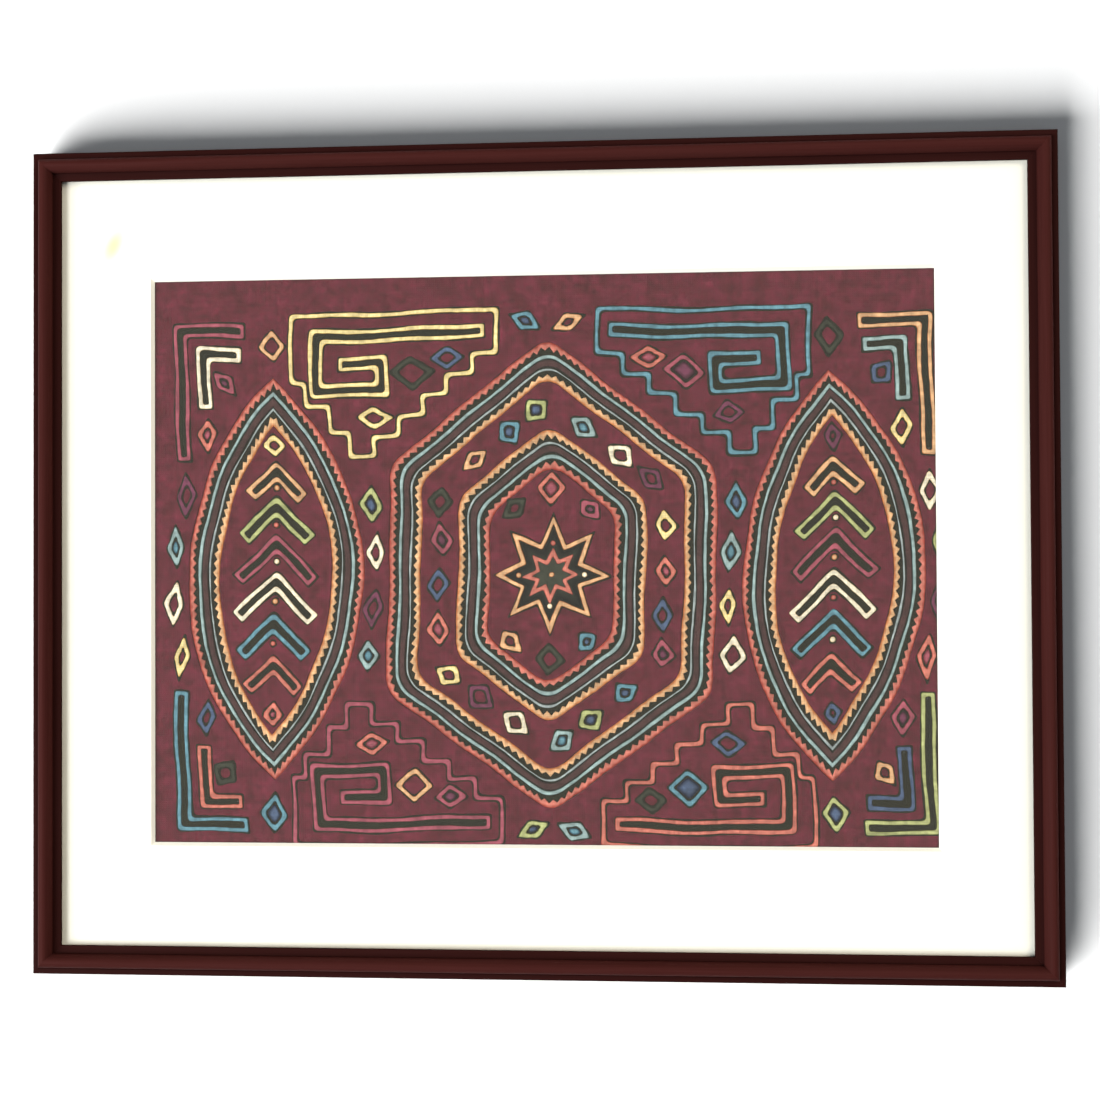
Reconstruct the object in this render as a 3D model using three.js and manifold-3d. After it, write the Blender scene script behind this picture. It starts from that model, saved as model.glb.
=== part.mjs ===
// Framed mola panel: a hand-sewn cotton panel under glass, in a white mat and a mitred wooden frame.
// It lies on its back: +X runs to the right of the picture, +Y to its top and +Z out of its face.
// The origin is the middle of the back, on the surface that the frame lies on. Sizes are millimetres.
import * as THREE from "three";
import { mergeVertices } from "three/addons/utils/BufferGeometryUtils.js";
import Module from "manifold-3d";

const wasm = await Module();
wasm.setup();

// Frame: the opening that shows, and the moulding across its face from that opening outward
const SIGHT_WIDTH = 496;
const SIGHT_HEIGHT = 398;
const RAIL_WIDTH = 14;
const RAIL_DEPTH = 20;
const RABBET = 6;
const LIP_WIDTH = 2.9;
const LIP_THICK = 2.2;
const LIP_FALL = 0.6;
const CUSHION_WIDTH = 7.4;
const GROOVE_WIDTH = 0.5;
const GROOVE_DEPTH = 0.8;
const LEDGE_ROUND = 1.2;
const CURVE_STEPS = 16;

// Stack in the rabbet, from the back of the frame to the glass
const CLEARANCE = 0.3;
const BACK_RECESS = 1.7;
const BOARD_THICK = 3;
const UNDER_THICK = 1;
const TOP_THICK = 1.2;
const STRIP_THICK = 1;
const MAT_THICK = 1.6;
const GLASS_THICK = 2;
const RABBET_PLAY = 0.6;

// Mat window, at the foot of its bevel, and the cloth that reaches under the mat
const WINDOW_WIDTH = 400.4;
const WINDOW_HEIGHT = 291.2;
const WINDOW_X = 1.3;
const WINDOW_Y = 0.1;
const CLOTH_WIDTH = 430;
const CLOTH_HEIGHT = 322;

// Mola: its design sits low and to the right in the window, so that the mat covers its last lines
const MOLA_X = 7;
const MOLA_Y = -9;
const HEXAGON_HALF_WIDTH = 84;
const HEXAGON_HALF_HEIGHT = 122;
const HEXAGON_SIDE = 58;
const CORNER_ROUND = 8;
const LEAF_X = 143;
const LEAF_HALF_WIDTH = 46;
const LEAF_HALF_HEIGHT = 104;
const RING_WIDTH = 19;
const STAR_POINTS = 8;
const STAR_RADIUS = 25;
const STAR_WAIST = 0.56;
const SLIT_WIDTH = 2.6;
const CHEVRON_PITCH = 20;
const CHEVRON_ROWS = 6;
const CHEVRON_REACH = 0.62;
const TOOTH_PITCH = 4.6;
const TOOTH_HEIGHT = 1.8;
const PLAIN_STEP = 13;

// Hand cutting lets every line wander: one slow wave and one quick wave across the whole cloth
const SLOW_WAVE = { height: 1.3, length: 190, sidewaysStart: 0.6, upwardStart: 2 };
const QUICK_WAVE = { height: 0.4, length: 52 };

// Strips of one toothed border, as distances in from the edge of its channel
const BORDER_WIDTH = 16.7;
const BORDER = [
  { strip: "coral", outer: 0.3, inner: 2.0, teeth: "inner" },
  { strip: "aqua", outer: 5.0, inner: 6.6, teeth: "none" },
  { strip: "core", outer: 7.0, inner: 10.4, teeth: "none" },
  { strip: "pale", outer: 10.8, inner: 11.8, teeth: "none" },
  { strip: "gold", outer: 14.6, inner: 16.4, teeth: "outer" },
];

// Slits of the top cloth in its first quarter, which the other quarters mirror
const KEY_SLIT = [
  { x: 34, y: 126 },
  { x: 120, y: 126 },
  { x: 120, y: 98 },
  { x: 86, y: 98 },
  { x: 86, y: 112 },
  { x: 106, y: 112 },
];
const CORNER_SLIT = [
  { x: 191, y: 62 },
  { x: 191, y: 128 },
  { x: 160, y: 128 },
];
const QUARTERS = [
  { right: 1, up: 1 },
  { right: -1, up: 1 },
  { right: -1, up: -1 },
  { right: 1, up: -1 },
];

const FINISHES = {
  wood: { color: 0x43201f, roughness: 0.35, metalness: 0 },
  glass: { color: 0xeef4f2, roughness: 0.05, metalness: 0 },
  mat: { color: 0xf7f5ef, roughness: 0.9, metalness: 0 },
  board: { color: 0x8a6a48, roughness: 0.85, metalness: 0 },
  black: { color: 0x1a1714, roughness: 0.95, metalness: 0 },
  core: { color: 0x4e141c, roughness: 0.95, metalness: 0 },
  coral: { color: 0xc9553f, roughness: 0.95, metalness: 0 },
  aqua: { color: 0x86b4b0, roughness: 0.95, metalness: 0 },
  pale: { color: 0x9fa8a8, roughness: 0.95, metalness: 0 },
  gold: { color: 0xdca75f, roughness: 0.95, metalness: 0 },
  green: { color: 0x3c3f36, roughness: 0.95, metalness: 0 },
};

const BOARD_BACK = BACK_RECESS;
const UNDER_BACK = BOARD_BACK + BOARD_THICK + CLEARANCE;
const TOP_BACK = UNDER_BACK + UNDER_THICK + CLEARANCE;
const MAT_BACK = TOP_BACK + TOP_THICK + CLEARANCE;
const GLASS_BACK = MAT_BACK + MAT_THICK + CLEARANCE;
const LIP_BACK = GLASS_BACK + GLASS_THICK + CLEARANCE;
const STACK_WIDTH = SIGHT_WIDTH + 2 * (RABBET - RABBET_PLAY);
const STACK_HEIGHT = SIGHT_HEIGHT + 2 * (RABBET - RABBET_PLAY);

const panel = new THREE.Group();

function addPiece(name, geometry, finish) {
  const mesh = new THREE.Mesh(geometry, new THREE.MeshStandardMaterial(FINISHES[finish]));
  mesh.name = name;
  panel.add(mesh);
  return mesh;
}

// The moulding's section: x outward from the sight edge, y up from the back
function railSection() {
  const front = LIP_BACK + LIP_THICK;
  const cushionOuter = LIP_WIDTH + CUSHION_WIDTH;
  const ledgeInner = cushionOuter + GROOVE_WIDTH;
  const section = new THREE.Shape();
  section.moveTo(RABBET, 0);
  section.lineTo(RAIL_WIDTH, 0);
  section.lineTo(RAIL_WIDTH, front - LEDGE_ROUND);
  section.absarc(RAIL_WIDTH - LEDGE_ROUND, front - LEDGE_ROUND, LEDGE_ROUND, 0, Math.PI / 2, false);
  section.lineTo(ledgeInner, front);
  section.lineTo(ledgeInner - GROOVE_WIDTH / 2, front - GROOVE_DEPTH);
  section.lineTo(cushionOuter, front);
  section.absellipse(
    LIP_WIDTH + CUSHION_WIDTH / 2,
    front,
    CUSHION_WIDTH / 2,
    RAIL_DEPTH - front,
    0,
    Math.PI,
    false,
    0,
  );
  section.lineTo(0, front - LIP_FALL);
  section.lineTo(0, LIP_BACK);
  section.lineTo(RABBET, LIP_BACK);
  section.closePath();
  return section;
}

// A rail on the far side of the opening, its ends cut back along the mitre by half the joint's gap
function railGeometry(halfLength, reach) {
  const mitre = (CLEARANCE / 2) * Math.SQRT2;
  const options = { depth: 1, bevelEnabled: false, curveSegments: CURVE_STEPS };
  const geometry = new THREE.ExtrudeGeometry(railSection(), options);
  const points = geometry.attributes.position;
  for (let i = 0; i < points.count; i += 1) {
    const outward = points.getX(i);
    const end = 2 * points.getZ(i) - 1;
    points.setXYZ(i, end * (halfLength + outward - mitre), reach + outward, points.getY(i));
  }
  return geometry;
}

function toSolid(geometry) {
  const bare = geometry.clone();
  bare.deleteAttribute("normal");
  bare.deleteAttribute("uv");
  const merged = mergeVertices(bare);
  const mesh = new wasm.Mesh({
    numProp: 3,
    vertProperties: new Float32Array(merged.attributes.position.array),
    triVerts: new Uint32Array(merged.index.array),
  });
  return new wasm.Manifold(mesh);
}

function toGeometry(solid) {
  const mesh = solid.getMesh();
  const geometry = new THREE.BufferGeometry();
  geometry.setAttribute("position", new THREE.BufferAttribute(mesh.vertProperties, 3));
  geometry.setIndex(new THREE.BufferAttribute(mesh.triVerts, 1));
  geometry.computeVertexNormals();
  return geometry;
}

function slab(width, height, thick, back) {
  return new THREE.BoxGeometry(width, height, thick).translate(0, 0, back + thick / 2);
}

// The cutter of the mat's window: sides that slope 45 degrees, so that the window widens upward
function windowCutter() {
  const geometry = new THREE.BoxGeometry(WINDOW_WIDTH, WINDOW_HEIGHT, 3 * MAT_THICK);
  const points = geometry.attributes.position;
  for (let i = 0; i < points.count; i += 1) {
    const spread = points.getZ(i) + MAT_THICK / 2;
    const x = points.getX(i) + Math.sign(points.getX(i)) * spread;
    const y = points.getY(i) + Math.sign(points.getY(i)) * spread;
    points.setXY(i, WINDOW_X + x, WINDOW_Y + y);
  }
  return geometry.translate(0, 0, MAT_BACK + MAT_THICK / 2);
}

// Where a point of the mola's drawing falls on the sewn cloth
function handCut(point) {
  const slow = (2 * Math.PI) / SLOW_WAVE.length;
  const quick = (2 * Math.PI) / QUICK_WAVE.length;
  const { x, y } = point;
  const sideways = SLOW_WAVE.height * Math.sin(slow * y + SLOW_WAVE.sidewaysStart);
  const upward = SLOW_WAVE.height * Math.sin(slow * x + SLOW_WAVE.upwardStart);
  return new THREE.Vector2(
    MOLA_X + x + sideways + QUICK_WAVE.height * Math.sin(quick * (x + y)),
    MOLA_Y + y + upward + QUICK_WAVE.height * Math.sin(quick * (x - y)),
  );
}

// The upright hexagon medallion, drawn in from its edge, with rounded corners
function hexagonLoop(inset) {
  const slope = Math.hypot(HEXAGON_HALF_WIDTH, HEXAGON_HALF_HEIGHT - HEXAGON_SIDE);
  const side = HEXAGON_HALF_WIDTH - inset;
  const top = HEXAGON_HALF_HEIGHT - (inset * slope) / HEXAGON_HALF_WIDTH;
  const fall = (HEXAGON_HALF_HEIGHT - HEXAGON_SIDE) / HEXAGON_HALF_WIDTH;
  const shoulder = top - side * fall;
  const corners = [
    new THREE.Vector2(side, -shoulder),
    new THREE.Vector2(side, shoulder),
    new THREE.Vector2(0, top),
    new THREE.Vector2(-side, shoulder),
    new THREE.Vector2(-side, -shoulder),
    new THREE.Vector2(0, -top),
  ];
  const loop = new THREE.Path();
  corners.forEach((corner, i) => {
    const before = corners[(i + corners.length - 1) % corners.length];
    const after = corners[(i + 1) % corners.length];
    const start = before.clone().sub(corner).setLength(CORNER_ROUND).add(corner);
    const end = after.clone().sub(corner).setLength(CORNER_ROUND).add(corner);
    if (i === 0) {
      loop.moveTo(start.x, start.y);
    } else {
      loop.lineTo(start.x, start.y);
    }
    loop.quadraticCurveTo(corner.x, corner.y, end.x, end.y);
  });
  return loop.closePath();
}

// The radius of a leaf's two arcs, and how far their centres stand from its middle line
function leafArcs() {
  const sum = LEAF_HALF_HEIGHT ** 2 / LEAF_HALF_WIDTH;
  return { radius: (sum + LEAF_HALF_WIDTH) / 2, offset: (sum - LEAF_HALF_WIDTH) / 2 };
}

// An upright leaf medallion between two arcs, drawn in from its edge
function leafLoop(middle, inset) {
  const { radius, offset } = leafArcs();
  const half = Math.acos(offset / (radius - inset));
  const loop = new THREE.Path();
  loop.absarc(middle - offset, 0, radius - inset, -half, half, false);
  loop.absarc(middle + offset, 0, radius - inset, Math.PI - half, Math.PI + half, false);
  return loop;
}

// Points round a loop with every corner kept; toothed edges push each second point out of line
function edgePoints(loop, toothHeight) {
  const step = toothHeight === 0 ? PLAIN_STEP : TOOTH_PITCH;
  const share = toothHeight === 0 ? 1 : 2;
  const points = loop.curves
    .filter((curve) => curve.getLength() > CLEARANCE)
    .flatMap((curve) => {
      const parts = share * Math.max(2, Math.round(curve.getLength() / step));
      return curve.getSpacedPoints(parts).slice(0, -1);
    });
  if (toothHeight === 0) {
    return points.map(handCut);
  }
  return points
    .map((point, i) => {
      const before = points[(i + points.length - 1) % points.length];
      const after = points[(i + 1) % points.length];
      const run = after.clone().sub(before).normalize();
      const push = (i % 2) * toothHeight;
      return new THREE.Vector2(point.x - run.y * push, point.y + run.x * push);
    })
    .map(handCut);
}

// A flat piece of cloth from its outline and the outlines cut out of it
function clothGeometry(outline, cuts, thick, back) {
  const shape = new THREE.Shape(outline);
  shape.holes = cuts.map((cut) => new THREE.Path(cut));
  const geometry = new THREE.ExtrudeGeometry(shape, { depth: thick, bevelEnabled: false });
  return geometry.translate(0, 0, back);
}

// The outline of a bent slit: along one side of its middle line, and back along the other
function slitOutline(points) {
  const middle = points.map((point) => new THREE.Vector2(point.x, point.y));
  const runs = middle.slice(1).map((point, i) => point.clone().sub(middle[i]).normalize());
  const sides = middle.map((point, i) => {
    const into = runs[Math.max(i - 1, 0)];
    const out = runs[Math.min(i, runs.length - 1)];
    const across = new THREE.Vector2(-into.y - out.y, into.x + out.x);
    return across.multiplyScalar(SLIT_WIDTH / 2 / (1 + into.dot(out)));
  });
  const left = middle.map((point, i) => handCut(point.clone().add(sides[i])));
  const right = middle.map((point, i) => handCut(point.clone().sub(sides[i])));
  return [...left, ...right.reverse()];
}

// Nested chevron slits up the middle of a leaf, each as wide as the leaf allows there
function chevronSlits(middle) {
  const { radius, offset } = leafArcs();
  return Array.from({ length: CHEVRON_ROWS }, (_, row) => {
    const apex = (row - (CHEVRON_ROWS - 1) / 2) * CHEVRON_PITCH;
    const room = Math.sqrt((radius - BORDER_WIDTH) ** 2 - apex ** 2) - offset;
    const reach = CHEVRON_REACH * room;
    return slitOutline([
      { x: middle - reach, y: apex - reach / 2 },
      { x: middle, y: apex + reach / 2 },
      { x: middle + reach, y: apex - reach / 2 },
    ]);
  });
}

function starOutline(radius) {
  return Array.from({ length: 2 * STAR_POINTS }, (_, i) => {
    const angle = (i * Math.PI) / STAR_POINTS;
    const reach = i % 2 === 0 ? radius : radius * STAR_WAIST;
    return handCut({ x: reach * Math.cos(angle), y: reach * Math.sin(angle) });
  });
}

// The strips of a toothed border, laid into their channel from a given distance in
function addBorder(prefix, loopAt, start, strips) {
  strips.forEach(({ strip, outer, inner, teeth }) => {
    const outerTeeth = teeth === "outer" ? -TOOTH_HEIGHT : 0;
    const innerTeeth = teeth === "inner" ? TOOTH_HEIGHT : 0;
    const outline = edgePoints(loopAt(start + outer), outerTeeth);
    const cut = edgePoints(loopAt(start + inner), innerTeeth);
    addPiece(`${prefix}_${strip}`, clothGeometry(outline, [cut], STRIP_THICK, TOP_BACK), strip);
  });
}

// The same border with gold outside and coral inside
function reversedBorder() {
  const swap = { inner: "outer", outer: "inner", none: "none" };
  return BORDER.map((row) => ({
    strip: row.strip,
    outer: BORDER_WIDTH - row.inner,
    inner: BORDER_WIDTH - row.outer,
    teeth: swap[row.teeth],
  })).reverse();
}

// Frame
const halfWidth = SIGHT_WIDTH / 2;
const halfHeight = SIGHT_HEIGHT / 2;
const RAILS = [
  { name: "rail_top", halfLength: halfWidth, reach: halfHeight, turn: 0 },
  { name: "rail_left", halfLength: halfHeight, reach: halfWidth, turn: Math.PI / 2 },
  { name: "rail_bottom", halfLength: halfWidth, reach: halfHeight, turn: Math.PI },
  { name: "rail_right", halfLength: halfHeight, reach: halfWidth, turn: -Math.PI / 2 },
];
RAILS.forEach(({ name, halfLength, reach, turn }) => {
  addPiece(name, railGeometry(halfLength, reach), "wood").rotation.z = turn;
});

// Glazing and boards
addPiece("glass_pane", slab(STACK_WIDTH, STACK_HEIGHT, GLASS_THICK, GLASS_BACK), "glass");
const wholeMat = toSolid(slab(STACK_WIDTH, STACK_HEIGHT, MAT_THICK, MAT_BACK));
addPiece("mat_board", toGeometry(wholeMat.subtract(toSolid(windowCutter()))), "mat");
addPiece("backing_board", slab(STACK_WIDTH, STACK_HEIGHT, BOARD_THICK, BOARD_BACK), "board");

// Mola: the under cloth, then the top cloth with its channels and slits cut open
const underCloth = slab(CLOTH_WIDTH, CLOTH_HEIGHT, UNDER_THICK, UNDER_BACK);
addPiece("mola_under_cloth", underCloth.translate(WINDOW_X, WINDOW_Y, 0), "black");
const clothCorners = QUARTERS.map(({ right, up }) => {
  const x = WINDOW_X + (right * CLOTH_WIDTH) / 2;
  return new THREE.Vector2(x, WINDOW_Y + (up * CLOTH_HEIGHT) / 2);
});
const topSlits = QUARTERS.flatMap(({ right, up }) =>
  [KEY_SLIT, CORNER_SLIT].map((slit) =>
    slitOutline(slit.map(({ x, y }) => ({ x: right * x, y: up * y }))),
  ),
);
const leaves = [
  { name: "left_leaf", middle: -LEAF_X },
  { name: "right_leaf", middle: LEAF_X },
];
const channels = [
  edgePoints(hexagonLoop(0), 0),
  ...leaves.map(({ middle }) => edgePoints(leafLoop(middle, 0), 0)),
];
const topCloth = clothGeometry(clothCorners, [...channels, ...topSlits], TOP_THICK, TOP_BACK);
addPiece("mola_top_cloth", topCloth, "core");

// Hexagon medallion: two toothed borders with a ring of top cloth between them, and a star
const ringInner = BORDER_WIDTH + RING_WIDTH;
const heartEdge = ringInner + BORDER_WIDTH;
addBorder("hexagon", hexagonLoop, 0, BORDER);
const ringOutline = edgePoints(hexagonLoop(BORDER_WIDTH), 0);
const ringCut = edgePoints(hexagonLoop(ringInner), 0);
addPiece("hexagon_ring", clothGeometry(ringOutline, [ringCut], TOP_THICK, TOP_BACK), "core");
addBorder("heart", hexagonLoop, ringInner, reversedBorder());
const heartOutline = edgePoints(hexagonLoop(heartEdge), 0);
const heartField = clothGeometry(heartOutline, [starOutline(STAR_RADIUS)], TOP_THICK, TOP_BACK);
addPiece("heart_field", heartField, "core");
const star = clothGeometry(starOutline(STAR_RADIUS - SLIT_WIDTH), [], STRIP_THICK, TOP_BACK);
addPiece("heart_star", star, "green");

// Leaf medallions: one toothed border round a field with chevron slits
leaves.forEach(({ name, middle }) => {
  const loopAt = (inset) => leafLoop(middle, inset);
  addBorder(name, loopAt, 0, BORDER);
  const outline = edgePoints(loopAt(BORDER_WIDTH), 0);
  const field = clothGeometry(outline, chevronSlits(middle), TOP_THICK, TOP_BACK);
  addPiece(`${name}_field`, field, "core");
});

export default panel;
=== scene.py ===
# A framed mola panel lying on its back, put together from the backing board up to the glass and frame.
# Shapes are worked out in millimetres, with x to the picture's right, y to its top and z out of its face.
from collections import defaultdict, namedtuple

import bmesh
import bpy
import numpy as np
from mathutils import Matrix, Vector


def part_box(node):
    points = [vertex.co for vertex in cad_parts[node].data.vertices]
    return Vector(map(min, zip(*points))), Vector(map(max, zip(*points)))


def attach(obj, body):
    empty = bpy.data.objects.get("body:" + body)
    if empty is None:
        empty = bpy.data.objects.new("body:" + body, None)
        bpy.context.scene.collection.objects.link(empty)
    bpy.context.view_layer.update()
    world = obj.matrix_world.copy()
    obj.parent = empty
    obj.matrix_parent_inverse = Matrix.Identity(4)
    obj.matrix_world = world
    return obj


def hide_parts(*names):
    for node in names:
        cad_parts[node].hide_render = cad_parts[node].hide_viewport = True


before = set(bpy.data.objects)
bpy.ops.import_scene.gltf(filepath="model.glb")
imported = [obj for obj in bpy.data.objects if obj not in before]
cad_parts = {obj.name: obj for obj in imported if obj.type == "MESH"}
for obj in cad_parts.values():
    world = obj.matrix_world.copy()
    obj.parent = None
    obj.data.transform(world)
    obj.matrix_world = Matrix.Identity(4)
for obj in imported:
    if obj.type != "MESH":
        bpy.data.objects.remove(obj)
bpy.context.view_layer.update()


# Backing board
# Brown hardboard, cut to the size of the glass and pressed into the rabbet from behind. It carries the
# cloth. Matted wood fibres give it fine darker flecks on a dull face.
BOARD_BROWN = "#8a6a48"
BOARD_FLECK = "#65482e"
FLECK_MM = 1.4
BLOTCH_MM = 35


def to_linear(colour, shade=1.0):
    """An sRGB hex colour as linear light with alpha, times a shade that darkens or lightens it."""
    channels = np.array([int(colour[i:i + 2], 16) for i in (1, 3, 5)]) / 255
    linear = np.where(channels > 0.04045, ((channels + 0.055) / 1.055) ** 2.4, channels / 12.92)
    return (*np.minimum(shade * linear, 1).tolist(), 1.0)


def add_node(tree, kind, links=(), **settings):
    """A shader node with its settings; links gives an input, by name or number, a value or an output."""
    node = tree.nodes.new(kind)
    for name, value in settings.items():
        setattr(node, name, value)
    for socket, value in dict(links).items():
        if isinstance(value, bpy.types.NodeSocket):
            tree.links.new(value, node.inputs[socket])
        else:
            node.inputs[socket].default_value = value
    return node


def new_finish(name):
    """An empty node material, and the place on the object of each point that is shaded."""
    material = bpy.data.materials.new(name)
    material.use_nodes = True
    material.node_tree.nodes.clear()
    return material, add_node(material.node_tree, "ShaderNodeTexCoord").outputs["Object"]


# Each function from here to relief adds its nodes to the tree of the output that it is given first.
def blend(amount, first, second):
    """The colour that lies between two by an amount from nought to one."""
    links = {0: amount, 6: first, 7: second}
    return add_node(amount.id_data, "ShaderNodeMix", links, data_type="RGBA").outputs[2]


def shaded(colour, shade):
    """A colour darkened or lightened by a value."""
    links = {0: colour, 3: shade}
    return add_node(colour.id_data, "ShaderNodeVectorMath", links, operation="SCALE").outputs[0]


def combine(first, second, operation="MULTIPLY"):
    """The product of two values, or their sum."""
    return add_node(first.id_data, "ShaderNodeMath", {0: first, 1: second}, operation=operation).outputs[0]


def remap(value, old, new=(0.0, 1.0), **settings):
    """A value carried from an old range to a new one, and held inside it."""
    links = {"Value": value, "From Min": old[0], "From Max": old[1], "To Min": new[0], "To Max": new[1]}
    return add_node(value.id_data, "ShaderNodeMapRange", links, **settings).outputs[0]


def noise(place, sizes, detail=2.0, roughness=0.5, turn=0.0):
    """Cloudy noise, its clouds of one size in millimetres or of three along the axes, turned about z."""
    scale = (1000 / np.broadcast_to(sizes, 3)).tolist()
    links = {"Vector": place, "Scale": scale, "Rotation": (0, 0, turn)}
    spread = add_node(place.id_data, "ShaderNodeMapping", links).outputs[0]
    links = {"Vector": spread, "Scale": 1.0, "Detail": detail, "Roughness": roughness}
    return add_node(place.id_data, "ShaderNodeTexNoise", links).outputs["Fac"]


def relief(height, strength, depth):
    """Shading tilted as over a relief of a depth in millimetres."""
    links = {"Height": height, "Strength": strength, "Distance": 0.001 * depth}
    return add_node(height.id_data, "ShaderNodeBump", links).outputs["Normal"]


def surface(material, **links):
    """A material with its shader wired up; an underscore in an input's name stands for a blank."""
    named = {name.replace("_", " "): value for name, value in links.items()}
    shader = add_node(material.node_tree, "ShaderNodeBsdfPrincipled", named)
    add_node(material.node_tree, "ShaderNodeOutputMaterial", {"Surface": shader.outputs["BSDF"]})
    return material


def hardboard():
    """Pressed hardboard: flecks of darker fibre over slow blotches, with a slightly furry grain."""
    material, place = new_finish("hardboard")
    fleck = noise(place, FLECK_MM, detail=4.0)
    amount = combine(fleck, noise(place, BLOTCH_MM))
    return surface(
        material,
        Base_Color=blend(amount, to_linear(BOARD_FLECK), to_linear(BOARD_BROWN, 1.3)),
        Roughness=0.85,
        Normal=relief(fleck, 0.4, 0.2),
    )


def refinish(node, material):
    """A CAD node kept as it is, in a new material."""
    kept = bpy.data.objects[node]
    kept.data.materials.clear()
    kept.data.materials.append(material)
    return kept


refinish("backing_board", hardboard())


# Black under cloth
# The bottom layer of the mola: plain-woven black cotton, which shows wherever the cloth above it is cut
# open. It lies flat on the backing board, a little puffed by the layers that are sewn to it.
BLACK = "#191807"
THREAD_MM = 1.1
WAVE_MM = 314.16  # the length of a wave texture's wave at scale one
MOTTLE_MM = 8
FUZZ_MM = 3.2
SLUB_MM = 26
# Painted shade along folds: how far in it reaches, and how much it deepens the colour.
FOLD_SHADE_REACH = 0.55
FOLD_SHADE_POWER = 2.2
UNDER_FACE = 6.4
UNDER_STEP = 2.5
PUFF = 0.05
PUFF_LENGTH = 60


def cotton(name, colour, worn=None, fold_shaded=False):
    """Plain-woven cotton: threads cross at right angles, some thicker, and the dye fades to a worn colour.
    Fine fuzz clouds it. Along a tucked fold the colour is painted deeper and darker, as painted shade for
    the shadow there and for light that bounces there more than once.
    The thread pitch is over twice a real one, so that the weave shows in a picture of the whole panel."""
    material, place = new_finish(name)
    tree = material.node_tree
    links = {"Vector": place, "Scale": WAVE_MM / THREAD_MM, "Distortion": 1.2, "Detail Scale": 0.3}
    threads = [add_node(tree, "ShaderNodeTexWave", links, bands_direction=run) for run in "XY"]
    weave = combine(*[thread.outputs["Fac"] for thread in threads])
    stretches = [(THREAD_MM, SLUB_MM, SLUB_MM), (SLUB_MM, THREAD_MM, SLUB_MM)]
    slub = combine(*[noise(place, sizes, detail=1.0) for sizes in stretches])
    wear = remap(noise(place, MOTTLE_MM, detail=3.0, roughness=0.65), (0.34, 0.66))
    dye_and_fold_shade = blend(wear, to_linear(colour, 0.8), to_linear(worn or colour, 1.2))
    # Painted shade: near a fold the colour is painted deeper and darker, standing in for the shadow there.
    if fold_shaded:
        across = add_node(tree, "ShaderNodeAttribute", attribute_name="fold").outputs["Fac"]
        painted_fold_shade = remap(across, (0.1, FOLD_SHADE_REACH), (1.0, 0.0))
        dye_and_fold_shade = blend(painted_fold_shade, dye_and_fold_shade, tuple(channel**FOLD_SHADE_POWER for channel in to_linear(colour)))
    shade = remap(slub, (0.1, 0.45), (0.8, 1.15))
    shade = combine(shade, remap(weave, (0, 1), (0.84, 1.08)))
    fuzz = remap(noise(place, FUZZ_MM), (0.3, 0.7), (0.78, 1.22))
    return surface(
        material,
        Base_Color=shaded(dye_and_fold_shade, combine(shade, fuzz)),
        Roughness=0.92,
        Specular_IOR_Level=0.25,
        Sheen_Weight=0.12,
        Sheen_Roughness=0.5,
        Normal=relief(combine(weave, slub, "ADD"), 0.3, 0.15),
    )


def box_mm(node):
    """The lowest and highest corner of a CAD node, in millimetres."""
    return [1000 * np.array(corner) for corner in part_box(node)]


def grid_faces(rows, columns, close_rows=False, close_columns=False):
    """Four-cornered faces between the neighbours of a grid, which may close on itself either way."""
    row = np.arange(rows if close_rows else rows - 1)
    column = np.arange(columns if close_columns else columns - 1)
    row, column = np.meshgrid(row, column, indexing="ij")
    next_row, next_column = (row + 1) % rows, (column + 1) % columns
    corners = [(row, column), (next_row, column), (next_row, next_column), (row, next_column)]
    return np.stack([down * columns + along for down, along in corners], -1).reshape(-1, 4)


def join_surfaces(surfaces):
    """Several (points, faces) pairs as one."""
    counts = np.cumsum([0] + [len(points) for points, _ in surfaces])
    points = np.concatenate([points for points, _ in surfaces])
    faces = np.concatenate([faces + first for (_, faces), first in zip(surfaces, counts)])
    return points, faces


def make_piece(name, shape, material, replaced=(), smooth=True, weld=False):
    """A piece at the origin from points in millimetres and faces, riding on the panel's one body. A fourth
    number of each point, where there is one, tells how far it lies from a fold; it sets the painted fold
    shade."""
    points, faces = shape
    mesh = bpy.data.meshes.new(name)
    mesh.from_pydata(points[:, :3] * 0.001, [], faces, shade_flat=not smooth)
    if points.shape[1] > 3:
        mesh.attributes.new("fold", "FLOAT", "POINT").data.foreach_set("value", points[:, 3])
    if weld:
        merged = bmesh.new()
        merged.from_mesh(mesh)
        bmesh.ops.remove_doubles(merged, verts=merged.verts, dist=1e-6)
        merged.to_mesh(mesh)
        merged.free()
    mesh.materials.append(material)
    piece = bpy.data.objects.new(name, mesh)
    bpy.context.collection.objects.link(piece)
    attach(piece, "root")
    if replaced:
        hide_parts(*replaced)
    return piece


def soft_waves(places, seed, longest):
    """Slow unevenness, about one high: a sum of nine sine waves of many directions, each 0.72 as long as
    the one before it and lower by the power 0.6 of that."""
    draws = np.random.default_rng(seed)
    total = 0
    for length in longest * 0.72 ** np.arange(9):
        turn, start = draws.uniform(0, 2 * np.pi, 2)
        across = places[..., 0] * np.cos(turn) + places[..., 1] * np.sin(turn)
        total = total + (length / longest) ** 0.6 * np.sin(2 * np.pi * across / length + start)
    return total / 2


def flat_grid(low, high, step):
    """Points of a flat rectangle about a step apart, as an array of rows and columns."""
    counts = np.ceil((high - low) / step).astype(int) + 1
    return np.stack(
        np.meshgrid(*[np.linspace(low[i], high[i], counts[i]) for i in (0, 1)], indexing="ij"), -1
    )


def under_height(places):
    """The face of the under cloth: a level plus a slight puff."""
    return UNDER_FACE + PUFF * soft_waves(places, seed=3, longest=PUFF_LENGTH)


cloth_low, cloth_high = box_mm("mola_under_cloth")
under_places = flat_grid(cloth_low[:2], cloth_high[:2], UNDER_STEP)
under_points = np.dstack([under_places, under_height(under_places)]).reshape(-1, 3)
under_cloth = make_piece(
    "black_under_cloth",
    (under_points, grid_faces(*under_places.shape[:2])),
    cotton("black plain-weave cotton", BLACK),
    ["mola_under_cloth"],
)


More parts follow.
